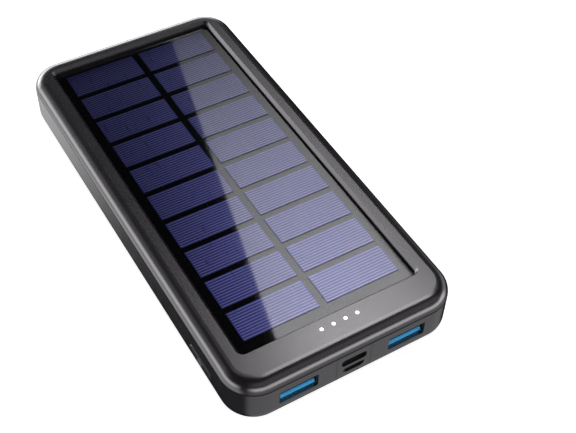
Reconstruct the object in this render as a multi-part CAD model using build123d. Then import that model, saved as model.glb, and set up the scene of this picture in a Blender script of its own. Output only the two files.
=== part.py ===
from build123d import *
from math import radians, tan
import os

# Solar phone charger: a flat power bank with a solar panel set into its top shell.
# Frame: X across the width, Y along the length, Z up. The sockets are at the -Y end and the
# power button is on the -X side. The origin is the centre of the footprint, on the resting face.
# All sizes are millimetres.

# ---- casing ----
body_width = 75.2
body_length = 154.8
body_height = 18.0
seam_height = 13.7
corner_radius = 10.5
top_edge_radius = 4.1
bottom_edge_radius = 4.5
wall = 1.8
floor_thickness = 1.8
roof_thickness = 1.8
lip_thickness = 0.8
lip_depth = 1.5
lip_gap = 0.1
seam_groove = 0.4

# ---- solar panel and its recess ----
bezel_side = 6.9
bezel_near = 11.9
bezel_far = 5.5
panel_corner_radius = 1.4
panel_gap = 0.15
recess_drop = 1.1
recess_run = 0.85
cover_thickness = 1.0
cell_thickness = 0.2
panel_board_thickness = 1.2
adhesive_thickness = 0.2
adhesive_margin = 2.0
tray_floor = 1.5
tray_wall = 1.4
cell_rows = 10
cell_columns = 2
cell_row_gap = 2.1
cell_column_gap = 2.4
cell_border_side = 3.3
cell_border_near = 4.25
cell_border_far = 2.75

# ---- main board ----
board_thickness = 0.8
board_top = 8.4
board_half_width = 33.0
board_front_gap = 1.0
board_depth = 27.2
board_corner_radius = 8.0
board_notch_gap = 0.2
screw_positions = ((28.0, 9.5), (27.0, 26.4))
screw_diameter = 2.0
screw_length = 5.0
screw_head_diameter = 3.8
screw_head_height = 1.2
boss_diameter = 5.0

# ---- sockets ----
socket_setback = 0.8
socket_fit = 0.15
mouth_gap = 0.1
usb_a_spacing = 36.6
usb_a_size = (13.1, 14.0, 5.7)
usb_a_metal = 0.3
usb_a_rise = 0.2
usb_a_tongue = (11.2, 1.85)
usb_a_tongue_gap = 0.42
usb_a_tongue_setback = 0.05
usb_a_contact_places = (-3.5, -1.0, 1.0, 3.5)
usb_a_contact_size = (1.0, 0.12)
usb_a_contact_setback = 1.4
usb_a_contact_end = 0.8
usb_a_heel = 3.2
usb_c_size = (8.94, 7.0, 3.26)
usb_c_metal = 0.33
usb_c_tongue = (6.7, 0.7)
micro_size = (7.5, 5.6, 2.4)
micro_metal = 0.3
micro_flank = 1.0
micro_tongue = (4.4, 0.6)
plate_width = 11.6
plate_bottom = 3.3
plate_gap = 0.1
plate_flange = 1.4
plate_flange_thickness = 0.7

# ---- button and its switch ----
button_length = 13.0
button_height = 4.0
button_from_end = 23.1
button_base = 4.3
button_proud = 0.15
button_gap = 0.15
button_travel = 0.4
button_flange = 0.6
button_flange_thickness = 0.8
button_flange_gap = 0.35
switch_size = (3.2, 4.8, 2.5)
plunger_size = (2.0, 1.3)
plunger_reach = 1.0
plunger_inside = 1.2
plunger_gap = 0.06

# ---- charge lights ----
light_count = 4
light_pitch = 4.0
light_from_end = 8.75
light_diameter = 1.15
light_bar = (14.4, 2.0, 1.2)
led_size = (1.0, 0.6, 0.6)
light_air_gap = 0.3

# ---- battery ----
battery_width = 62.0
battery_length = 115.0
battery_thickness = 4.85
battery_corner_radius = 2.0
battery_end_gap = 2.4
pad_thickness = 0.5
tape_thickness = 0.3
top_pad_thickness = 0.4
protection_size = (30.0, 1.0, 8.4)
tab_size = (4.0, 0.2)
rib_thickness = 1.0
rib_height = 5.0
rib_gap = 0.5

# ---- leads ----
lead_diameter = 1.3
lead_spacing = 4.0

# ---- values that follow from the ones above ----
half_width = body_width / 2
half_length = body_length / 2
panel_width = body_width - 2 * (bezel_side + recess_run + panel_gap)
panel_length = body_length - bezel_near - bezel_far - 2 * (recess_run + panel_gap)
panel_offset_y = (bezel_near - bezel_far) / 2
cells_length = panel_length - cell_border_near - cell_border_far
cells_offset_y = panel_offset_y + (cell_border_near - cell_border_far) / 2
cell_length = (cells_length - (cell_rows - 1) * cell_row_gap) / cell_rows
cell_width = (panel_width - 2 * cell_border_side - (cell_columns - 1) * cell_column_gap) / cell_columns
panel_top = body_height - recess_drop
cell_base = panel_top - cover_thickness
panel_board_base = cell_base - panel_board_thickness
tray_top = panel_board_base - adhesive_thickness
tray_base = tray_top - tray_floor
board_base = board_top - board_thickness
board_front = -half_length + wall + board_front_gap
usb_a_centre_z = board_top + usb_a_rise
board_back = board_front + board_depth
socket_front = -half_length + socket_setback
light_y = -half_length + light_from_end
button_centre_y = -half_length + button_from_end
button_centre_z = button_base + button_height / 2
battery_y = half_length - wall - battery_end_gap - battery_length / 2
battery_base = floor_thickness + pad_thickness
battery_front = battery_y - battery_length / 2
light_x = [(i - (light_count - 1) / 2) * light_pitch for i in range(light_count)]

parts = {}


def block(size, centre, base):
    """A box from its X, Y, Z size, its X, Y centre and the height of its underside."""
    return Pos(centre[0], centre[1], base + size[2] / 2) * Box(*size)


def slab(width, length, radius, base, top, centre_y=0.0):
    """A plate with rounded plan corners between two heights."""
    outline = RectangleRounded(width, length, radius)
    return Pos(0, centre_y, base) * extrude(outline, top - base)


def pill(length, height, depth, x, y, z):
    """A round-ended bar lying along Y, extruded along +X from x."""
    outline = SlotOverall(length, height)
    plane = Plane(origin=(x, y, z), x_dir=(0, 1, 0), z_dir=(1, 0, 0))
    return extrude(plane * outline, depth)


def casing_block():
    """The outside of the closed casing, with its large top and bottom edge rounds."""
    body = slab(body_width, body_length, corner_radius, 0, body_height)
    top = body.faces().sort_by(Axis.Z)[-1]
    body = fillet(top.edges(), top_edge_radius)
    bottom = body.faces().sort_by(Axis.Z)[0]
    return fillet(bottom.edges(), bottom_edge_radius)


def casing_cavity():
    """The inside of the closed casing, a wall's thickness in from the outside."""
    width = body_width - 2 * wall
    length = body_length - 2 * wall
    top = body_height - roof_thickness
    cavity = slab(width, length, corner_radius - wall, floor_thickness, top)
    upper = cavity.faces().sort_by(Axis.Z)[-1]
    cavity = fillet(upper.edges(), top_edge_radius - roof_thickness)
    lower = cavity.faces().sort_by(Axis.Z)[0]
    return fillet(lower.edges(), bottom_edge_radius - wall)


def ring(inset, thickness, base, top):
    """A closed band that follows the casing's plan, inset from its outside."""
    outer = slab(body_width - 2 * inset, body_length - 2 * inset, corner_radius - inset, base, top)
    inner_inset = inset + thickness
    inner = slab(body_width - 2 * inner_inset, body_length - 2 * inner_inset,
                 corner_radius - inner_inset, base - 1, top + 1)
    return outer - inner


lip_inset = wall - lip_thickness


def seam_cut(base, top):
    """The shallow groove that runs round the outside at the seam."""
    return ring(-1.0, 1.0 + seam_groove, base, top)


def recess_tool():
    """What the panel's recess removes: a straight pocket under a sloping rim."""
    pocket_width = panel_width + 2 * panel_gap
    pocket_length = panel_length + 2 * panel_gap
    radius = panel_corner_radius + panel_gap
    pocket = slab(pocket_width, pocket_length, radius, tray_top, body_height, panel_offset_y)
    low = Pos(0, panel_offset_y, panel_top) * RectangleRounded(pocket_width, pocket_length, radius)
    high = Pos(0, panel_offset_y, body_height) * RectangleRounded(
        pocket_width + 2 * recess_run, pocket_length + 2 * recess_run, radius + recess_run)
    return pocket + loft([low.face(), high.face()], ruled=True)


lead_slot_centre = (lead_spacing / 2 + 10.0, panel_offset_y - panel_length / 2 + 9.0)


def lead_slot():
    """The slot in the tray floor that the panel's leads pass down."""
    width = lead_spacing + lead_diameter + 2.0
    return block((width, lead_diameter + 1.4, tray_floor + 2), lead_slot_centre, tray_base - 1)


def make_top_shell(outside, cavity):
    upper = slab(body_width + 2, body_length + 2, corner_radius + 1, seam_height, body_height + 1)
    shell = (outside - cavity) & upper
    tray_plan = (panel_width + 2 * panel_gap + 2 * tray_wall, panel_length + 2 * panel_gap + 2 * tray_wall)
    tray = slab(tray_plan[0], tray_plan[1], panel_corner_radius + panel_gap + tray_wall,
                tray_base, body_height - roof_thickness / 2, panel_offset_y)
    shell = shell + tray - recess_tool()
    shell = shell + ring(lip_inset + lip_gap, lip_thickness, seam_height - lip_depth, seam_height + 0.6)
    shell = shell - seam_cut(seam_height - 1, seam_height + seam_groove)
    shell = shell - lead_slot()
    for x in light_x:
        shell = shell - Pos(x, light_y, body_height) * Cylinder(light_diameter / 2, 2 * roof_thickness + 1)
    return shell


def micro_outline(width, height):
    """The micro socket's section: a rectangle whose two lower corners are cut away."""
    half = width / 2
    points = [(-half, height / 2), (half, height / 2), (half, -height / 2 + micro_flank * 0.75),
              (half - micro_flank, -height / 2), (-half + micro_flank, -height / 2),
              (-half, -height / 2 + micro_flank * 0.75)]
    return make_face(Polyline(points + points[:1]))


usb_c_centre_z = board_top + usb_c_size[2] / 2
micro_centre_z = board_base - micro_size[2] / 2


def end_plane(y, x, z):
    """A sketch plane across Y, seen from the -Y end: sketch X is X and sketch Y is Z."""
    return Plane(origin=(x, y, z), x_dir=(1, 0, 0), z_dir=(0, -1, 0))


def along_y(outline, start_y, depth, x, z):
    """The outline carried from start_y towards +Y."""
    return extrude(end_plane(start_y, x, z) * outline, -depth)


def usb_a_outline(growth):
    return RectangleRounded(usb_a_size[0] + 2 * growth, usb_a_size[2] + 2 * growth, 0.5)


def usb_c_outline(growth):
    height = usb_c_size[2] + 2 * growth
    return RectangleRounded(usb_c_size[0] + 2 * growth, height, height / 2 - 0.3)


def micro_shell_outline(growth):
    return micro_outline(micro_size[0] + 2 * growth, micro_size[2] + 2 * growth)


sockets = {
    "usb_a": (usb_a_outline, usb_a_metal, usb_a_size[1], usb_a_centre_z),
    "usb_c": (usb_c_outline, usb_c_metal, usb_c_size[1], usb_c_centre_z),
    "micro": (micro_shell_outline, micro_metal, micro_size[1], micro_centre_z),
}


def socket_cut(kind, x):
    """The hole for a socket: a mouth the size of its opening, and a wider pocket behind."""
    outline, metal, depth, z = sockets[kind]
    mouth = along_y(outline(mouth_gap - metal), -half_length - 1, socket_setback + 2, x, z)
    pocket = along_y(outline(socket_fit), socket_front, depth + 1, x, z)
    return mouth + pocket


plate_curve_depth = bottom_edge_radius - wall


def plate_space(gap):
    """The notch in the end wall that the input-socket plate fills, widened by gap."""
    depth = wall + plate_curve_depth + 1.0
    size = (plate_width + 2 * gap, depth, seam_height - plate_bottom + gap + 1.0)
    return block(size, (0, -half_length - 1.0 + depth / 2), plate_bottom - gap)


def lower_blank(outside, cavity):
    """The lower shell before its bosses and cut-outs, with the seam step on its rim."""
    lower = slab(body_width + 2, body_length + 2, corner_radius + 1, -1, seam_height)
    shell = (outside - cavity) & lower
    step = ring(lip_inset, lip_thickness + lip_gap + 0.4, seam_height - lip_depth - lip_gap, seam_height + 1)
    return shell - step


def make_bottom_shell(blank, outside):
    shell = blank - plate_space(plate_gap)
    for side in (-1, 1):
        shell = shell - socket_cut("usb_a", side * usb_a_spacing / 2)
    opening = pill(button_length + 2 * button_gap, button_height + 2 * button_gap, wall + 2,
                   -half_width - 1, button_centre_y, button_centre_z)
    shell = shell - opening
    fixtures = []
    for x, from_end in screw_positions:
        for side in (-1, 1):
            height = board_base - floor_thickness / 2
            centre = (side * x, -half_length + from_end, floor_thickness / 2 + height / 2)
            fixtures.append(Pos(*centre) * Cylinder(boss_diameter / 2, height))
    rib_half = battery_width / 2 + rib_gap + rib_thickness / 2
    for side in (-1, 1):
        for share in (-0.3, 0.0, 0.3):
            centre = (side * rib_half, battery_y + share * battery_length)
            fixtures.append(block((rib_thickness, 14.0, rib_height + 1), centre, floor_thickness - 1))
    stop_y = battery_front - rib_gap - protection_size[1] - 3.4 - rib_thickness / 2
    for side in (-1, 1):
        fixtures.append(block((16.0, rib_thickness, 3.5), (side * 24.0, stop_y + 3.0), floor_thickness - 1))
    for item in fixtures:
        shell = shell + (item & outside)
    for x, from_end in screw_positions:
        for side in (-1, 1):
            hole_base = board_top - screw_length
            hole = Pos(side * x, -half_length + from_end, hole_base + screw_length / 2)
            shell = shell - hole * Cylinder(screw_diameter / 2, screw_length)
    return shell


def make_port_plate(blank):
    """The plate round the two input sockets, flush with the wall, with a flange behind it."""
    plate = blank & plate_space(0)
    flange_base = bottom_edge_radius + plate_gap
    flange_size = (plate_width + 2 * plate_flange, plate_flange_thickness,
                   seam_height - lip_depth - lip_gap - flange_base)
    flange = block(flange_size, (0, -half_length + wall + plate_flange_thickness / 2), flange_base)
    plate = plate + flange
    return plate - socket_cut("usb_c", 0) - socket_cut("micro", 0)


def make_socket_shell(kind, x):
    """A folded metal tube, open at the front."""
    outline, metal, depth, z = sockets[kind]
    tube = along_y(outline(0), socket_front, depth, x, z)
    return tube - along_y(outline(-metal), socket_front - 1, depth + 2, x, z)


def make_usb_a_inside(x):
    """The blue carrier: a heel that closes the tube and a flat tongue near its floor, with the contacts on top."""
    outline, metal, depth, z = sockets["usb_a"]
    heel_start = socket_front + depth - usb_a_heel
    heel = along_y(outline(-metal), heel_start, usb_a_heel, x, z)
    width, thickness = usb_a_tongue
    start = socket_front + usb_a_tongue_setback
    length = heel_start - start
    base = z - usb_a_size[2] / 2 + metal + usb_a_tongue_gap
    tongue = block((width, length, thickness), (x, start + length / 2), base)
    tip = tongue.faces().sort_by(Axis.Y)[0]
    tongue = chamfer(tip.edges().filter_by(Axis.X), 0.35)
    contacts = []
    contact_width, contact_thickness = usb_a_contact_size
    contact_length = length - usb_a_contact_setback - usb_a_contact_end
    contact_y = start + usb_a_contact_setback + contact_length / 2
    for offset in usb_a_contact_places:
        size = (contact_width, contact_length, contact_thickness)
        contacts.append(block(size, (x + offset, contact_y), base + thickness))
    return heel + tongue, Compound(children=contacts)


def make_flat_socket_inside(kind, width, thickness, contact_count, pitch, drop):
    """The carrier of a small input socket: a heel with a thin tongue, and its contacts."""
    outline, metal, depth, z = sockets[kind]
    heel_depth = 1.6
    heel_start = socket_front + depth - heel_depth
    heel = along_y(outline(-metal), heel_start, heel_depth, 0, z)
    start = socket_front + 0.7
    length = heel_start - start
    tongue = block((width, length, thickness), (0, start + length / 2), z + drop - thickness / 2)
    contacts = []
    for i in range(contact_count):
        offset = (i - (contact_count - 1) / 2) * pitch
        size = (pitch * 0.5, length - 0.8, 0.08)
        contacts.append(block(size, (offset, start + 0.5 + size[1] / 2), z + drop - thickness / 2 - 0.08))
    return heel + tongue, Compound(children=contacts)


def make_panel():
    cover = slab(panel_width, panel_length, panel_corner_radius, cell_base, panel_top, panel_offset_y)
    cells = []
    pitch_y = cell_length + cell_row_gap
    pitch_x = cell_width + cell_column_gap
    for column in range(cell_columns):
        for row in range(cell_rows):
            x = (column - (cell_columns - 1) / 2) * pitch_x
            y = cells_offset_y + (row - (cell_rows - 1) / 2) * pitch_y
            cells.append(block((cell_width, cell_length, cell_thickness), (x, y), cell_base))
    cells = Compound(children=cells)
    board = slab(panel_width, panel_length, panel_corner_radius, panel_board_base, cell_base, panel_offset_y)
    margin = 2 * adhesive_margin
    adhesive = slab(panel_width - margin, panel_length - margin, panel_corner_radius,
                    tray_top, panel_board_base, panel_offset_y)
    parts["panel_cover"] = cover - cells
    parts["solar_cells"] = cells
    parts["panel_board"] = board
    parts["panel_adhesive"] = adhesive - lead_slot() - Pos(0, 0, 3) * lead_slot()


def make_main_board():
    board = block((2 * board_half_width, board_depth, board_thickness), (0, board_front + board_depth / 2), board_base)
    front = board.edges().filter_by(Axis.Z).sort_by(Axis.Y)[:2]
    board = fillet(front, board_corner_radius)
    for side in (-1, 1):
        depth = socket_front + usb_a_size[1] + board_notch_gap - board_front + 1
        size = (usb_a_size[0] + 2 * board_notch_gap, depth, board_thickness + 1)
        board = board - block(size, (side * usb_a_spacing / 2, board_front - 1 + depth / 2), board_base - 0.5)
    for x, from_end in screw_positions:
        for side in (-1, 1):
            board = board - Pos(side * x, -half_length + from_end, board_top) * Cylinder(screw_diameter / 2, 3)
    return board


def make_screws():
    screws = []
    for x, from_end in screw_positions:
        for side in (-1, 1):
            shank = Pos(0, 0, board_top - screw_length / 2) * Cylinder(screw_diameter / 2, screw_length)
            head = Pos(0, 0, board_top + screw_head_height / 2) * Cylinder(screw_head_diameter / 2, screw_head_height)
            rim = head.edges().sort_by(Axis.Z)[-1]
            head = fillet(rim, 0.5)
            cross = Box(2.2, 0.5, 1.2) + Box(0.5, 2.2, 1.2)
            screw = shank + head - Pos(0, 0, board_top + screw_head_height) * cross
            screws.append(Pos(side * x, -half_length + from_end, 0) * screw)
    return Compound(children=screws)


def make_button():
    """The cap, its flange behind the wall and the nub that meets the switch."""
    front = -half_width - button_proud
    flange_front = -half_width + wall + button_flange_gap
    cap = pill(button_length, button_height, flange_front - front, front, button_centre_y, button_centre_z)
    rim = cap.faces().sort_by(Axis.X)[0]
    cap = fillet(rim.edges(), 0.3)
    flange = pill(button_length + 2 * button_flange, button_height + 2 * button_flange, button_flange_thickness,
                  flange_front, button_centre_y, button_centre_z)
    nub_start = flange_front + button_flange_thickness
    nub_end = switch_front - plunger_reach - plunger_gap
    nub = Pos((nub_start + nub_end) / 2, button_centre_y, plunger_z) * Box(nub_end - nub_start, 2.4, 1.8)
    return cap + flange + nub


switch_front = -board_half_width
plunger_z = board_base - switch_size[2] / 2


def plunger_block(growth):
    length = plunger_reach + plunger_inside + growth
    x = switch_front - plunger_reach + length / 2
    return Pos(x, button_centre_y, plunger_z) * Box(length, plunger_size[0] + 2 * growth, plunger_size[1] + 2 * growth)


def make_switch():
    body = block(switch_size, (switch_front + switch_size[0] / 2, button_centre_y), board_base - switch_size[2])
    bore_length = plunger_inside + button_travel + 0.15
    bore = Pos(switch_front + bore_length / 2, button_centre_y, plunger_z) * Box(
        bore_length, plunger_size[0] + 2 * plunger_gap, plunger_size[1] + 2 * plunger_gap)
    return body - bore, plunger_block(0)


def make_light_guide():
    """Four pins that carry the charge lights up to the roof, joined by a bar under it."""
    base = board_top + led_size[2] + light_air_gap
    bar_base = body_height - roof_thickness - light_bar[2]
    guide = block(light_bar, (0, light_y), bar_base)
    for x in light_x:
        guide = guide + Pos(x, light_y, (base + body_height) / 2) * Cylinder(light_diameter / 2, body_height - base)
    return guide


def make_leds():
    return Compound(children=[block(led_size, (x, light_y), board_top) for x in light_x])


def make_battery():
    def cell(base):
        body = slab(battery_width, battery_length, battery_corner_radius, base, base + battery_thickness, battery_y)
        return fillet(body.edges().filter_by(Plane.XY), 0.9)

    lower = cell(battery_base)
    tape_base = battery_base + battery_thickness
    upper = cell(tape_base + tape_thickness)
    upper_top = tape_base + tape_thickness + battery_thickness
    inner = (battery_width - 6, battery_length - 6)
    parts["battery_cell_lower"] = lower
    parts["battery_cell_upper"] = upper
    parts["battery_tape"] = block((*inner, tape_thickness), (0, battery_y), tape_base)
    parts["battery_pad"] = block((*inner, pad_thickness), (0, battery_y), floor_thickness)
    parts["battery_top_pad"] = block((inner[0], 20.0, top_pad_thickness), (0, battery_y), upper_top)
    board_y = battery_front - 3.0
    protection = block(protection_size, (0, board_y), battery_base + 0.6)
    parts["protection_board"] = protection
    tabs = []
    tab_length = battery_front - board_y - protection_size[1] / 2
    for base in (battery_base, tape_base + tape_thickness):
        for side in (-1, 1):
            z = base + battery_thickness / 2
            tabs.append(block((tab_size[0], tab_length, tab_size[1]), (side * 11.0, battery_front - tab_length / 2), z))
    parts["battery_tabs"] = Compound(children=tabs)
    chips = []
    for x in (-5.0, 0.0, 5.0):
        chips.append(block((3.0, 0.9, 2.8), (x, board_y + protection_size[1] / 2 + 0.45), battery_base + 3.4))
    parts["protection_chips"] = Compound(children=chips)
    return board_y - protection_size[1] / 2


def lead(points):
    """A round lead along straight runs joined by arcs as large as the runs allow."""
    runs = [(Vector(*b) - Vector(*a)) for a, b in zip(points, points[1:])]
    radii = []
    for before, after in zip(runs, runs[1:]):
        half_turn = radians(before.get_angle(after)) / 2
        radii.append(0.45 * min(before.length, after.length) / tan(half_turn))
    path = FilletPolyline(*points, radius=radii)
    start = Plane(origin=path @ 0, z_dir=path % 0)
    return sweep(start * Circle(lead_diameter / 2), path=path)


def make_leads(protection_face):
    height = board_top + 1.6
    landing = board_back - 2.6
    for name, x in (("battery_lead_red", -lead_spacing / 2), ("battery_lead_black", lead_spacing / 2)):
        points = [(x, protection_face, height + 0.4), (x, protection_face - 2.0, height + 0.4),
                  (x, landing, height), (x, landing, board_top)]
        parts[name] = lead(points)
    x0, y0 = lead_slot_centre
    for name, x in (("panel_lead_red", x0 - lead_spacing / 2), ("panel_lead_black", x0 + lead_spacing / 2)):
        middle = (board_top + tray_base) / 2
        points = [(x, y0, panel_board_base), (x, y0, middle), (x, y0 + 4.6, middle), (x, y0 + 4.6, board_top)]
        parts[name] = lead(points)


def make_components():
    """What is soldered on the main board's upper face."""
    row = -half_length + 21.6
    coils = []
    for side in (-1, 1):
        coil = block((7.0, 7.0, 3.6), (side * 19.0, row + 3.6), board_top)
        coils.append(chamfer(coil.edges().filter_by(Axis.Z), 1.2))
    parts["inductors"] = Compound(children=coils)
    parts["control_chips"] = Compound(children=[
        block((5.0, 5.0, 0.9), (-9.0, row + 1.6), board_top),
        block((4.0, 4.0, 0.9), (2.0, row - 3.6), board_top),
        block((4.0, 3.0, 0.9), (-3.0, row - 6.8), board_top)])
    parts["power_transistors"] = Compound(children=[
        block((3.2, 3.2, 0.9), (x, row - 3.4), board_top) for x in (-20.0, 27.0, -27.0)])
    cans = [Pos(x, row - 5.4, board_top + 1.35) * Cylinder(1.6, 2.7) for x in (-8.6, 8.2)]
    parts["capacitors"] = Compound(children=[fillet(can.edges().sort_by(Axis.Z)[-1], 0.3) for can in cans])
    chips = []
    for i in range(6):
        chips.append(block((1.0, 0.6, 0.5), (-5.2 + 1.9 * i, row - 0.4), board_top))
    for i in range(4):
        chips.append(block((0.6, 1.0, 0.5), (-13.6 + 1.5 * i, row - 2.4), board_top))
    parts["resistors"] = Compound(children=chips)


outside = casing_block()
cavity = casing_cavity()
blank = lower_blank(outside, cavity)
parts["top_shell"] = make_top_shell(outside, cavity)
parts["bottom_shell"] = make_bottom_shell(blank, outside)
parts["port_plate"] = make_port_plate(blank)
make_panel()
parts["main_board"] = make_main_board()
parts["board_screws"] = make_screws()
for name, side in (("left", -1), ("right", 1)):
    x = side * usb_a_spacing / 2
    parts[f"usb_a_shell_{name}"] = make_socket_shell("usb_a", x)
    parts[f"usb_a_tongue_{name}"], parts[f"usb_a_contacts_{name}"] = make_usb_a_inside(x)
parts["usb_c_shell"] = make_socket_shell("usb_c", 0)
parts["usb_c_tongue"], parts["usb_c_contacts"] = make_flat_socket_inside(
    "usb_c", usb_c_tongue[0], usb_c_tongue[1], 12, 0.5, 0.0)
parts["micro_usb_shell"] = make_socket_shell("micro", 0)
parts["micro_usb_tongue"], parts["micro_usb_contacts"] = make_flat_socket_inside(
    "micro", micro_tongue[0], micro_tongue[1], 5, 0.65, 0.25)
parts["power_button"] = make_button()
parts["switch_body"], parts["switch_plunger"] = make_switch()
parts["light_guide"] = make_light_guide()
parts["indicator_leds"] = make_leds()
make_components()
make_leads(make_battery())

os.makedirs("parts", exist_ok=True)
for name, solid in parts.items():
    export_step(solid, f"parts/{name}.step")
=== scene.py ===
from math import cos, pi, radians, sin

import bmesh
import bpy
from bpy.props import FloatProperty, FloatVectorProperty, IntProperty, PointerProperty
from mathutils import Matrix, Vector


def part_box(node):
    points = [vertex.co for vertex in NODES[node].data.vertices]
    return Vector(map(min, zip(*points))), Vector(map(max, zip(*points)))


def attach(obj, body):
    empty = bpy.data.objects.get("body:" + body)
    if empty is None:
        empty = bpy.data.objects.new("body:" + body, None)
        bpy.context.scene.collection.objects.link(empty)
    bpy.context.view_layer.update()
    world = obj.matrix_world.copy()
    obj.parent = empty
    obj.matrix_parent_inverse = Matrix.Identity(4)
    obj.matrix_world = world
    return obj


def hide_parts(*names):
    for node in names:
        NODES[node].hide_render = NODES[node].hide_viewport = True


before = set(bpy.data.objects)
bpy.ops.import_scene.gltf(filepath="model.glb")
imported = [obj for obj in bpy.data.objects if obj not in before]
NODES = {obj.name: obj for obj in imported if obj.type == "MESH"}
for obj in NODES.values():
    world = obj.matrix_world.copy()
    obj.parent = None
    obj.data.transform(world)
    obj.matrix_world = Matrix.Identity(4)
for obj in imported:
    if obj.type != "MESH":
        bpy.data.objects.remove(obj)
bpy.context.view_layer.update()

bl_info = {
    "name": "Solar Phone Charger",
    "version": (1, 0, 0),
    "blender": (4, 5, 0),
    "location": "View3D > Sidebar > Charger",
    "description": "Finishes a solar phone charger: casing, solar panel, sockets, lights and inside",
    "category": "Object",
}

MM = 0.001
JOINED = 1e-6
CASING = "casing"
BUTTON = "power_button"


# ---- shader building ----

class Wire:
    """A node's output in Python arithmetic: each operator adds the Math node it stands for."""

    def __init__(self, bench, socket):
        self.bench = bench
        self.socket = socket

    def maths(self, operation, *values):
        return self.bench.node("ShaderNodeMath", {"operation": operation}, dict(enumerate(values)))

    def __add__(self, other):
        return self.maths("ADD", self, other)

    def __sub__(self, other):
        return self.maths("SUBTRACT", self, other)

    def __rsub__(self, other):
        return self.maths("SUBTRACT", other, self)

    def __mul__(self, other):
        return self.maths("MULTIPLY", self, other)

    def __mod__(self, other):
        return self.maths("FLOORED_MODULO", self, other)

    def __gt__(self, other):
        return self.maths("GREATER_THAN", self, other)

    def __lt__(self, other):
        return self.maths("LESS_THAN", self, other)

    def __abs__(self):
        return self.maths("ABSOLUTE", self)

    __radd__ = __add__


class Bench:
    """A node tree to build in."""

    def __init__(self, tree):
        self.tree = tree

    def feed(self, socket, value):
        if isinstance(value, Wire):
            self.tree.links.new(value.socket, socket)
        else:
            socket.default_value = value

    def node(self, kind, settings=None, sockets=None, output=0):
        """Adds one node: its settings first, then the values or wires of its sockets."""
        made = self.tree.nodes.new(kind)
        for name, value in (settings or {}).items():
            setattr(made, name, value)
        for name, value in (sockets or {}).items():
            self.feed(made.inputs[name], value)
        return Wire(self, made.outputs[output])

    def blend(self, share, low, high):
        """A colour between low and high."""
        return self.node("ShaderNodeMix", {"data_type": "RGBA"}, {0: share, 6: low, 7: high}, 2)

    def place(self):
        """Where a point is in its object's own space, in metres."""
        return self.node("ShaderNodeTexCoord", output="Object")

    def axes(self, where=None):
        """A place as three wires: across, along and up."""
        parts = self.node("ShaderNodeSeparateXYZ", sockets={0: where or self.place()})
        return [Wire(self, socket) for socket in parts.socket.node.outputs]

    def grain(self, size, detail=2.0, stretch=None):
        """Noise whose features are about size across, from 0 to 1."""
        where = self.place()
        if stretch:
            where = self.node("ShaderNodeVectorMath", {"operation": "MULTIPLY"}, {0: where, 1: stretch})
        return self.node("ShaderNodeTexNoise", sockets={
            "Vector": where, "Scale": 1 / size, "Detail": detail})


class Finish(Bench):
    """A material with one Principled shader."""

    def __init__(self, name):
        self.material = bpy.data.materials.new(name)
        self.material.use_nodes = True
        super().__init__(self.material.node_tree)
        self.shader = self.tree.nodes["Principled BSDF"]

    def shade(self, **sockets):
        """Sets the shader's sockets; underscores in a name stand for spaces."""
        for name, value in sockets.items():
            self.feed(self.shader.inputs[name.replace("_", " ")], value)
        return self

    def bump(self, height, depth, strength=1.0):
        normal = self.node("ShaderNodeBump", sockets={
            "Height": height, "Distance": depth, "Strength": strength})
        return self.shade(Normal=normal)

    def dress(self, *names):
        """Gives the finish to whole objects."""
        for name in names:
            piece = NODES.get(name) or bpy.data.objects[name]
            piece.data.materials.clear()
            piece.data.materials.append(self.material)


def colour(values):
    return (*values[:3], 1.0)


def darker(values, share):
    return (*[v * share for v in values[:3]], 1.0)


# ---- finishes ----

def moulded_plastic(name, base, roughness=0.36, grain=0.00022, depth=0.000006, specular=0.5, index=1.5):
    """Moulded plastic: a fine spark-eroded grain and slow changes of gloss."""
    finish = Finish(name)
    cloud = finish.grain(0.009, 3.0)
    fine = finish.grain(grain, 2.0)
    finish.shade(
        Base_Color=finish.blend(cloud, darker(base, 0.93), darker(base, 1.07)),
        Roughness=roughness + (cloud - 0.5) * 0.05 + (fine - 0.5) * 0.06,
        Specular_IOR_Level=specular,
        IOR=index,
    )
    return finish.bump(fine, depth)


def plated_metal(name, base, roughness=0.28, stretch=(1.0, 0.06, 1.0)):
    """Rolled and plated sheet: brushed along its length, with a little tarnish."""
    finish = Finish(name)
    brushed = finish.grain(0.0004, 3.0, stretch)
    tarnish = finish.grain(0.004, 3.0)
    finish.shade(
        Base_Color=finish.blend(tarnish, darker(base, 0.82), colour(base)),
        Metallic=1.0,
        Roughness=roughness + (brushed - 0.5) * 0.16,
    )
    return finish.bump(brushed, 0.000004)


def foam(name, base, cell=0.0006):
    """Closed-cell foam or felt-faced tape."""
    finish = Finish(name)
    cells = finish.node("ShaderNodeTexVoronoi", sockets={"Vector": finish.place(), "Scale": 1 / cell})
    finish.shade(
        Base_Color=finish.blend(cells, darker(base, 0.7), colour(base)),
        Roughness=0.88 + cells * 0.1,
    )
    return finish.bump(cells, 0.00008)


def circuit_board(name, base):
    """Solder mask over copper tracks, which show as raised, slightly lighter lines."""
    lane, cross_lane = 2.1 * MM, 4.7 * MM
    half_track, half_cross = 0.26 * MM, 0.3 * MM
    finish = Finish(name)
    across, along, up = finish.axes()
    bend = (finish.grain(0.012, 0.0) - 0.5) * 0.006
    track = abs((across + bend) % lane - lane / 2) < half_track
    cross = abs((along + bend) % cross_lane - cross_lane / 2) < half_cross
    copper = track.maths("MAXIMUM", track, cross)
    weave = finish.grain(0.0005, 1.0)
    finish.shade(
        Base_Color=finish.blend(copper, darker(base, 0.75), darker(base, 1.6)),
        Roughness=0.24 + weave * 0.14,
        Coat_Weight=0.3,
    )
    return finish.bump(copper + weave * 0.3, 0.00002)


def insulated_lead(name, base):
    """Soft silicone insulation with faint drawing marks."""
    finish = Finish(name)
    marks = finish.grain(0.0006, 2.0, (1.0, 0.2, 1.0))
    finish.shade(
        Base_Color=finish.blend(marks, darker(base, 0.8), colour(base)),
        Roughness=0.42 + marks * 0.12,
    )
    return finish.bump(marks, 0.00001)


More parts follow.
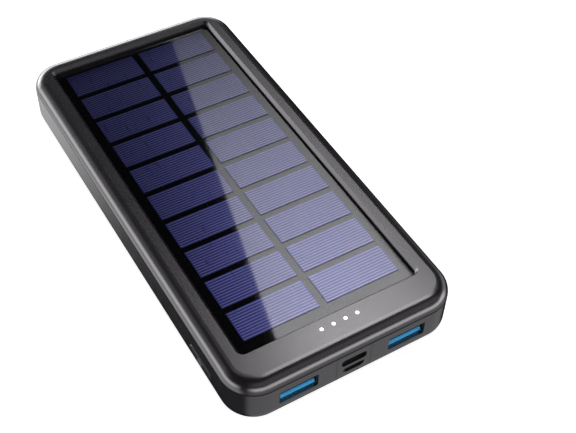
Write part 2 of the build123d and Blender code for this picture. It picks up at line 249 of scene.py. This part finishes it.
def laminate(finish, index):
    """The gloss of the clear sheet bonded on top of a layer."""
    return finish.shade(Coat_Weight=1.0, Coat_Roughness=0.035, Coat_IOR=index)


def foil_pouch(name, base):
    """Laminated foil drawn over a cell: shallow dents, fine crinkles."""
    finish = Finish(name)
    dents = finish.grain(0.014, 2.0)
    crinkle = finish.grain(0.0018, 4.0)
    finish.shade(
        Base_Color=finish.blend(dents, darker(base, 0.88), colour(base)),
        Metallic=0.85,
        Roughness=0.3 + crinkle * 0.2,
    )
    return finish.bump(dents + crinkle * 0.2, 0.00018)


# ---- what a user may change ----

class CasingSizes(bpy.types.PropertyGroup):
    plastic_colour: FloatVectorProperty(
        name="Plastic colour", description="Colour of the moulded casing", subtype="COLOR",
        default=(0.020, 0.0185, 0.022), min=0.0, max=1.0)
    grain_size: FloatProperty(
        name="Grain", description="Width of one grain of the moulded texture",
        unit="LENGTH", default=0.22 * MM)
    mark_colour: FloatVectorProperty(
        name="Mark colour", description="Colour of the mark printed on the button", subtype="COLOR",
        default=(0.30, 0.29, 0.30), min=0.0, max=1.0)
    mark_size: FloatProperty(
        name="Mark size", description="Width of the ring printed on the button",
        unit="LENGTH", default=2.2 * MM)


class PanelSizes(bpy.types.PropertyGroup):
    cell_colour: FloatVectorProperty(
        name="Cell colour", description="Colour of the silicon cells", subtype="COLOR",
        default=(0.018, 0.021, 0.165), min=0.0, max=1.0)
    finger_colour: FloatVectorProperty(
        name="Finger colour", description="Colour of the printed silver lines", subtype="COLOR",
        default=(0.14, 0.145, 0.26), min=0.0, max=1.0)
    fingers: IntProperty(name="Fingers", description="Silver lines on one cell", default=11, min=1)
    finger_width: FloatProperty(
        name="Finger width", description="Width of one silver line", unit="LENGTH", default=0.0003)
    cover_edge: FloatProperty(
        name="Cover edge", description="Round on the edge of the clear cover",
        unit="LENGTH", default=0.15 * MM)
    cover_radius: FloatProperty(
        name="Cover corner", description="Corner radius of the clear cover", unit="LENGTH", default=0.0014)
    cover_index: FloatProperty(
        name="Cover index", description="Refractive index of the clear cover", default=1.7, min=1.0)


class SocketColours(bpy.types.PropertyGroup):
    large_carrier: FloatVectorProperty(
        name="Large sockets", description="Colour of the carriers in the two large sockets",
        subtype="COLOR", default=(0.045, 0.36, 0.72), min=0.0, max=1.0)
    small_carrier: FloatVectorProperty(
        name="Small sockets", description="Colour of the carriers in the two small sockets",
        subtype="COLOR", default=(0.012, 0.012, 0.012), min=0.0, max=1.0)


class LightColours(bpy.types.PropertyGroup):
    glow_colour: FloatVectorProperty(
        name="Glow colour", description="Colour of the charge lights", subtype="COLOR",
        default=(1.0, 1.0, 1.0), min=0.0, max=1.0)
    glow: FloatProperty(name="Glow", description="Brightness of the charge lights", default=1.6, min=0.0)


class StageSizes(bpy.types.PropertyGroup):
    floor_colour: FloatVectorProperty(
        name="Floor", description="Colour of the floor", subtype="COLOR",
        default=(0.86, 0.86, 0.86), min=0.0, max=1.0)
    floor_glow: FloatProperty(name="Floor glow", description="Light that the lit table gives", default=1.0)
    softbox_radiance: FloatProperty(
        name="Softbox", description="Brightness of the softbox at its near end", default=3.9)
    azimuth: FloatProperty(
        name="Camera azimuth", description="Turn of the camera about the object", subtype="ANGLE",
        default=radians(-32.18))
    elevation: FloatProperty(
        name="Camera elevation", description="Height angle of the camera", subtype="ANGLE",
        default=radians(48.14))
    roll: FloatProperty(
        name="Camera roll", description="Tilt of the camera about its view", subtype="ANGLE",
        default=radians(2.15))
    distance: FloatProperty(
        name="Camera distance", description="From the camera to its target", unit="LENGTH", default=0.3276)
    target: FloatVectorProperty(
        name="Camera target", description="The point that the camera looks at", subtype="TRANSLATION",
        unit="LENGTH", default=(8.76 * MM, -25.14 * MM, 15.2 * MM))
    lens: FloatProperty(name="Lens", description="Focal length in millimetres", default=65.57, min=1.0)


# Each soft card of light: lowest and highest angle, heading from +Y towards +X, half its spread, radiance.
ROOM_CARDS = (
    (-10, 14, 160, 55, 3.0),
    (-10, 14, 300, 50, 2.9),
    (-8, 20, 0, 30, 4.6),
    (-8, 20, 95, 30, 0.8),
    (-40, -14, 160, 60, 0.5),
    (-45, -14, 300, 60, 1.1),
    (-90, -45, 160, 70, 0.45),
    (20, 40, 312, 26, 0.3),
    (28, 58, 165, 50, 0.3),
    (60, 74, 10, 30, 0.5),
)


def soft_step(bench, value, degrees, spread):
    """From 0 to 1 as an angle passes a limit."""
    return bench.node("ShaderNodeMapRange", {"interpolation_type": "SMOOTHSTEP"}, {
        0: value, 1: radians(degrees - spread), 2: radians(degrees + spread), 3: 0.0, 4: 1.0})


# ---- operators ----

def new_piece(name, build, body):
    """Makes an object from a bmesh builder and has it ride on a body."""
    mesh = bpy.data.meshes.new(name)
    work = bmesh.new()
    build(work)
    work.to_mesh(mesh)
    work.free()
    piece = bpy.data.objects.new(name, mesh)
    bpy.context.scene.collection.objects.link(piece)
    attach(piece, body)
    return piece


def add_box(work, low, high):
    """A box between two corners."""
    corners = [work.verts.new((x, y, z)) for x in (low[0], high[0]) for y in (low[1], high[1])
               for z in (low[2], high[2])]
    for ring in ((0, 1, 3, 2), (4, 6, 7, 5), (0, 4, 5, 1), (2, 3, 7, 6), (0, 2, 6, 4), (1, 5, 7, 3)):
        work.faces.new([corners[i] for i in ring])


class CHARGER_OT_casing(bpy.types.Operator):
    """Gives the shells, the socket plate and the button their moulded plastic"""

    bl_idname = "charger.casing"
    bl_label = "Casing"

    def execute(self, context):
        sizes = context.scene.charger_casing
        plastic = moulded_plastic(
            "casing_plastic", sizes.plastic_colour,
            roughness=0.235, grain=sizes.grain_size, specular=1.0, index=1.64)
        plastic.shade(Specular_Tint=(1.0, 0.96, 1.0, 1.0))
        plastic.dress("top_shell", "bottom_shell", "port_plate")
        cap = moulded_plastic(
            "button_plastic", sizes.plastic_colour, roughness=0.3, grain=sizes.grain_size)
        cap.dress("power_button")
        return {"FINISHED"}


class CHARGER_OT_button_mark(bpy.types.Operator):
    """Prints the ring-and-bar mark on the power button"""

    bl_idname = "charger.button_mark"
    bl_label = "Button mark"

    def execute(self, context):
        sizes = context.scene.charger_casing
        low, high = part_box("power_button")
        face = low[0]
        centre_y = (low[1] + high[1]) / 2
        centre_z = (low[2] + high[2]) / 2
        outer = sizes.mark_size / 2
        inner = outer * 0.76
        gap = radians(38)
        bar_foot, bar_top = outer * 0.15, outer * 1.15
        steps = 30
        thickness = 0.02 * MM
        back = face - thickness

        def build(work):
            rings = []
            for step in range(steps + 1):
                angle = pi / 2 + gap + (2 * pi - 2 * gap) * step / steps
                ring = []
                for radius, x in ((inner, face), (outer, face), (outer, back), (inner, back)):
                    y = centre_y + radius * cos(angle)
                    z = centre_z + radius * sin(angle)
                    ring.append(work.verts.new((x, y, z)))
                rings.append(ring)
            for one, two in zip(rings, rings[1:]):
                for i in range(4):
                    j = (i + 1) % 4
                    work.faces.new((one[i], one[j], two[j], two[i]))
            work.faces.new(rings[0])
            work.faces.new(reversed(rings[-1]))
            half = (outer - inner) / 2
            add_box(work, (back, centre_y - half, centre_z + bar_foot),
                    (face, centre_y + half, centre_z + bar_top))
            bmesh.ops.recalc_face_normals(work, faces=work.faces)

        new_piece("button_mark", build, BUTTON)
        ink = moulded_plastic("mark_ink", sizes.mark_colour, roughness=0.5)
        ink.dress("button_mark")
        return {"FINISHED"}


class CHARGER_OT_panel(bpy.types.Operator):
    """Finishes the solar panel: cells, backing board, clear cover"""

    bl_idname = "charger.panel"
    bl_label = "Solar panel"

    def execute(self, context):
        sizes = context.scene.charger_panel
        silicon = Finish("silicon")
        cloud = silicon.grain(0.006, 2.0)
        silicon.shade(
            Base_Color=silicon.blend(
                cloud, darker(sizes.cell_colour, 0.94), darker(sizes.cell_colour, 1.06)),
            Metallic=0.75,
            Roughness=0.28 + cloud * 0.04,
        )
        laminate(silicon, sizes.cover_index)
        silicon.dress("solar_cells")
        board = moulded_plastic(
            "panel_black", (0.0028, 0.003, 0.0028), roughness=0.6, depth=0.000001, specular=0.0)
        laminate(board, sizes.cover_index)
        board.dress("panel_board")
        foam("panel_tape", (0.75, 0.74, 0.7)).dress("panel_adhesive")

        lay_cover(sizes)
        cover = Finish("clear_cover")
        tree = cover.tree
        fresnel = cover.node("ShaderNodeFresnel", sockets={"IOR": 1.06})
        smear = cover.grain(0.03, 0.0)
        gloss = cover.node("ShaderNodeBsdfGlossy", sockets={
            "Color": (1, 1, 1, 1), "Roughness": 0.3 + smear * 0.05})
        clear = cover.node("ShaderNodeBsdfTransparent", sockets={"Color": (0.97, 0.97, 0.98, 1)})
        inner = cover.node("ShaderNodeNewGeometry", output="Backfacing")
        mixed = cover.node("ShaderNodeMixShader", sockets={0: fresnel * (1 - inner), 1: clear, 2: gloss})
        tree.nodes.remove(cover.shader)
        cover.feed(tree.nodes["Material Output"].inputs["Surface"], mixed)
        cover.dress("cover_sheet")
        return {"FINISHED"}


class CHARGER_OT_fingers(bpy.types.Operator):
    """Prints the silver finger lines across every cell"""

    bl_idname = "charger.fingers"
    bl_label = "Cell fingers"

    def execute(self, context):
        sizes = context.scene.charger_panel
        cells = cell_corners()
        margin = 0.25 * MM
        thickness = 0.012 * MM

        def build(work):
            for low, high in cells:
                pitch = (high[1] - low[1]) / sizes.fingers
                for index in range(sizes.fingers):
                    middle = low[1] + pitch * (index + 0.5)
                    add_box(work, (low[0] + margin, middle - sizes.finger_width / 2, high[2]),
                            (high[0] - margin, middle + sizes.finger_width / 2, high[2] + thickness))
            bmesh.ops.recalc_face_normals(work, faces=work.faces)

        new_piece("cell_fingers", build, CASING)
        silver = plated_metal("finger_silver", sizes.finger_colour, roughness=0.3)
        laminate(silver, sizes.cover_index)
        silver.dress("cell_fingers")
        return {"FINISHED"}


def outline(box, radius, inset, steps=8):
    """Points round a rectangle with rounded corners, drawn in by inset."""
    (x0, y0, _), (x1, y1, _) = box
    points = []
    for x, y, quarter in ((x1, y1, 0), (x0, y1, 1), (x0, y0, 2), (x1, y0, 3)):
        centre_x = x - radius if x == x1 else x + radius
        centre_y = y - radius if y == y1 else y + radius
        for step in range(steps + 1):
            angle = (quarter + step / steps) * pi / 2
            reach = radius - inset
            points.append((centre_x + reach * cos(angle), centre_y + reach * sin(angle)))
    return points


def lay_cover(sizes):
    """Lays the clear sheet over the cells, with a fine polished edge all round."""
    clearance = 0.03 * MM
    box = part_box("panel_cover")
    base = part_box("solar_cells")[1][2] + clearance
    top = box[1][2]
    edge = sizes.cover_edge
    steps = 4
    levels = [(base, 0.0)]
    for step in range(steps + 1):
        angle = step / steps * pi / 2
        levels.append((top - edge * (1 - sin(angle)), edge * (1 - cos(angle))))

    def build(work):
        rings = [[work.verts.new((x, y, z)) for x, y in outline(box, sizes.cover_radius, inset)]
                 for z, inset in levels]
        for low, high in zip(rings, rings[1:]):
            for i in range(len(low)):
                j = (i + 1) % len(low)
                work.faces.new((low[i], low[j], high[j], high[i])).smooth = True
        work.faces.new(reversed(rings[0]))
        work.faces.new(rings[-1])
        bmesh.ops.recalc_face_normals(work, faces=work.faces)

    sheet = new_piece("cover_sheet", build, CASING)
    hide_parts("panel_cover")


def cell_corners():
    """The lowest and highest corner of each cell."""
    work = bmesh.new()
    work.from_mesh(NODES["solar_cells"].data)
    bmesh.ops.remove_doubles(work, verts=work.verts, dist=JOINED)
    seen = set()
    boxes = []
    for start in work.verts:
        if start in seen:
            continue
        island = [start]
        seen.add(start)
        for vert in island:
            for edge in vert.link_edges:
                other = edge.other_vert(vert)
                if other not in seen:
                    seen.add(other)
                    island.append(other)
        places = [vert.co for vert in island]
        low, high = ([end(place[i] for place in places) for i in range(3)] for end in (min, max))
        boxes.append((low, high))
    work.free()
    return boxes


class CHARGER_OT_sockets(bpy.types.Operator):
    """Finishes the sockets: metal shells, moulded carriers and gold contacts"""

    bl_idname = "charger.sockets"
    bl_label = "Sockets"

    def execute(self, context):
        colours = context.scene.charger_sockets
        nickel = plated_metal("socket_nickel", (0.42, 0.42, 0.41))
        nickel.dress("usb_a_shell_left", "usb_a_shell_right", "usb_c_shell", "micro_usb_shell")
        blue = moulded_plastic("carrier_blue", colours.large_carrier, roughness=0.3)
        blue.dress("usb_a_tongue_left", "usb_a_tongue_right")
        black = moulded_plastic("carrier_black", colours.small_carrier, roughness=0.4)
        black.dress("usb_c_tongue", "micro_usb_tongue", "switch_body", "switch_plunger")
        gold = plated_metal("contact_gold", (0.83, 0.58, 0.24), roughness=0.22)
        gold.dress("usb_a_contacts_left", "usb_a_contacts_right", "usb_c_contacts", "micro_usb_contacts")
        return {"FINISHED"}


class CHARGER_OT_lights(bpy.types.Operator):
    """Lights the tips of the light guide and gives the light chips under it their plastic"""

    bl_idname = "charger.lights"
    bl_label = "Charge lights"

    def execute(self, context):
        colours = context.scene.charger_lights
        lit_depth = 0.4 * MM
        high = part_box("light_guide")[1][2]
        guide = Finish("light_guide_acrylic")
        across, along, up = guide.axes()
        tip = up > high - lit_depth
        haze = guide.grain(0.001)
        guide.shade(
            Base_Color=guide.blend(haze, (0.80, 0.82, 0.84, 1), (0.92, 0.93, 0.95, 1)),
            Roughness=0.12 + haze * 0.1,
            Emission_Color=guide.blend(tip, (0, 0, 0, 1), colour(colours.glow_colour)),
            Emission_Strength=colours.glow,
        )
        guide.dress("light_guide")
        chip = moulded_plastic("light_chip", (0.85, 0.8, 0.6), roughness=0.3)
        chip.dress("indicator_leds")
        return {"FINISHED"}


class CHARGER_OT_inside(bpy.types.Operator):
    """Finishes what the casing holds: boards, components, battery and leads"""

    bl_idname = "charger.inside"
    bl_label = "Inside"

    def execute(self, context):
        circuit_board("green_mask", (0.012, 0.13, 0.05)).dress("main_board", "protection_board")
        plated_metal("screw_zinc", (0.55, 0.55, 0.57), roughness=0.3).dress("board_screws")
        moulded_plastic("chip_epoxy", (0.018, 0.018, 0.02), roughness=0.55).dress(
            "control_chips", "power_transistors", "protection_chips", "resistors")
        ferrite = moulded_plastic(
            "ferrite_block", (0.07, 0.07, 0.075), roughness=0.6, grain=0.0004, depth=0.00003)
        ferrite.dress("inductors")
        plated_metal("capacitor_can", (0.74, 0.75, 0.77), roughness=0.2).dress("capacitors")
        foil_pouch("pouch_foil", (0.62, 0.63, 0.65)).dress("battery_cell_lower", "battery_cell_upper")
        foam("battery_foam", (0.035, 0.035, 0.035)).dress("battery_pad", "battery_top_pad")
        foam("battery_tape", (0.8, 0.79, 0.74), cell=0.0003).dress("battery_tape")
        plated_metal("nickel_strip", (0.62, 0.6, 0.55)).dress("battery_tabs")
        insulated_lead("lead_red", (0.5, 0.012, 0.012)).dress("battery_lead_red", "panel_lead_red")
        insulated_lead("lead_black", (0.014, 0.014, 0.014)).dress("battery_lead_black", "panel_lead_black")
        return {"FINISHED"}


class CHARGER_OT_stage(bpy.types.Operator):
    """Sets up the lit table, the studio lights and the camera"""

    bl_idname = "charger.stage"
    bl_label = "Stage"

    def execute(self, context):
        sizes = context.scene.charger_stage
        self.lay_floor(sizes)
        self.light_room(context.scene)
        self.hang_softbox(sizes)
        self.set_camera(context.scene, sizes)
        return {"FINISHED"}

    def lay_floor(self, sizes):
        half = 4.0
        work = bmesh.new()
        bmesh.ops.create_grid(work, x_segments=8, y_segments=8, size=half)
        mesh = bpy.data.meshes.new("table")
        work.to_mesh(mesh)
        work.free()
        table = bpy.data.objects.new("table", mesh)
        bpy.context.scene.collection.objects.link(table)
        table.visible_glossy = False
        table.visible_diffuse = False
        finish = Finish("lit_table")
        soft = finish.grain(0.3, 1.0)
        finish.shade(
            Base_Color=finish.blend(soft, darker(sizes.floor_colour, 0.99), colour(sizes.floor_colour)),
            Roughness=0.6,
            Specular_IOR_Level=0.2,
            Emission_Color=colour(sizes.floor_colour),
            Emission_Strength=sizes.floor_glow,
        )
        finish.dress("table")

    def light_room(self, scene):
        """Soft cards of light round a dark room: low ones all round, weaker ones above and below them."""
        world = bpy.data.worlds.new("studio")
        scene.world = world
        world.use_nodes = True
        bench = Bench(world.node_tree)
        across, along, up = bench.axes(bench.node("ShaderNodeTexCoord", output="Generated"))
        height = up.maths("ARCSINE", up)
        heading = across.maths("ARCTAN2", across, along)
        glow = 0.0
        for low, high, middle, half, radiance in ROOM_CARDS:
            level = soft_step(bench, height, low, 5) - soft_step(bench, height, high, 5)
            aside = height.maths("ARCCOSINE", height.maths("COSINE", heading - radians(middle)))
            glow = level * (1 - soft_step(bench, aside, half, 12)) * radiance + glow
        background = world.node_tree.nodes["Background"]
        bench.feed(background.inputs["Color"], glow)

    def hang_softbox(self, sizes):
        """A long softbox above and behind; its left edge is mirrored down the panel."""
        near, far, height = -0.05, 0.88, 0.7
        corners = ((0.134, near), (0.402, near), (0.425, far), (0.367, far))
        mesh = bpy.data.meshes.new("softbox")
        mesh.from_pydata([(x, y, height) for x, y in corners], [], [(3, 2, 1, 0)])
        box = bpy.data.objects.new("softbox", mesh)
        bpy.context.scene.collection.objects.link(box)
        box.visible_camera = False
        finish = Finish("softbox_cloth")
        along = finish.axes()[1]
        fall = finish.node("ShaderNodeMapRange", sockets={0: along, 1: 0.25, 2: far, 3: 1.0, 4: 0.1})
        cloth = finish.blend(fall, colour((0, 0, 0)), colour((1, 1, 1)))
        finish.shade(Base_Color=cloth, Emission_Color=cloth, Emission_Strength=sizes.softbox_radiance)
        finish.dress("softbox")

    def set_camera(self, scene, sizes):
        target = Vector(sizes.target)
        flat = cos(sizes.elevation)
        back = Vector((sin(sizes.azimuth) * flat, -cos(sizes.azimuth) * flat, sin(sizes.elevation)))
        right = Vector((0, 0, 1)).cross(back).normalized()
        up = back.cross(right)
        turn = sizes.roll
        turned_right = right * cos(turn) + up * sin(turn)
        turned_up = up * cos(turn) - right * sin(turn)
        level = Matrix((turned_right, turned_up, back)).transposed()
        data = bpy.data.cameras.new("camera")
        data.sensor_width = 36.0
        data.lens = sizes.lens
        data.clip_start = 10 * MM
        camera = bpy.data.objects.new("camera", data)
        camera.matrix_world = Matrix.Translation(target + back * sizes.distance) @ level.to_4x4()
        scene.collection.objects.link(camera)
        scene.camera = camera
        scene.view_settings.view_transform = "Standard"


class CHARGER_PT_panel(bpy.types.Panel):
    """Lists the charger's pieces and their sizes"""

    bl_label = "Solar phone charger"
    bl_idname = "CHARGER_PT_panel"
    bl_space_type = "VIEW_3D"
    bl_region_type = "UI"
    bl_category = "Charger"

    def draw(self, context):
        for operator in OPERATORS:
            self.layout.operator(operator.bl_idname)
        for name, group in SETTINGS.items():
            settings = getattr(context.scene, name)
            box = self.layout.box()
            for field in group.__annotations__:
                box.prop(settings, field)


SETTINGS = {
    "charger_casing": CasingSizes,
    "charger_panel": PanelSizes,
    "charger_sockets": SocketColours,
    "charger_lights": LightColours,
    "charger_stage": StageSizes,
}
OPERATORS = (
    CHARGER_OT_stage,
    CHARGER_OT_casing,
    CHARGER_OT_button_mark,
    CHARGER_OT_panel,
    CHARGER_OT_fingers,
    CHARGER_OT_sockets,
    CHARGER_OT_lights,
    CHARGER_OT_inside,
)


def register():
    for group in SETTINGS.values():
        bpy.utils.register_class(group)
    for name, group in SETTINGS.items():
        setattr(bpy.types.Scene, name, PointerProperty(type=group))
    for operator in OPERATORS:
        bpy.utils.register_class(operator)
    bpy.utils.register_class(CHARGER_PT_panel)


def unregister():
    bpy.utils.unregister_class(CHARGER_PT_panel)
    for operator in reversed(OPERATORS):
        bpy.utils.unregister_class(operator)
    for name in SETTINGS:
        delattr(bpy.types.Scene, name)
    for group in SETTINGS.values():
        bpy.utils.unregister_class(group)


def main():
    register()
    for operator in OPERATORS:
        group, name = operator.bl_idname.split(".")
        getattr(getattr(bpy.ops, group), name)()


if __name__ == "__main__":
    main()
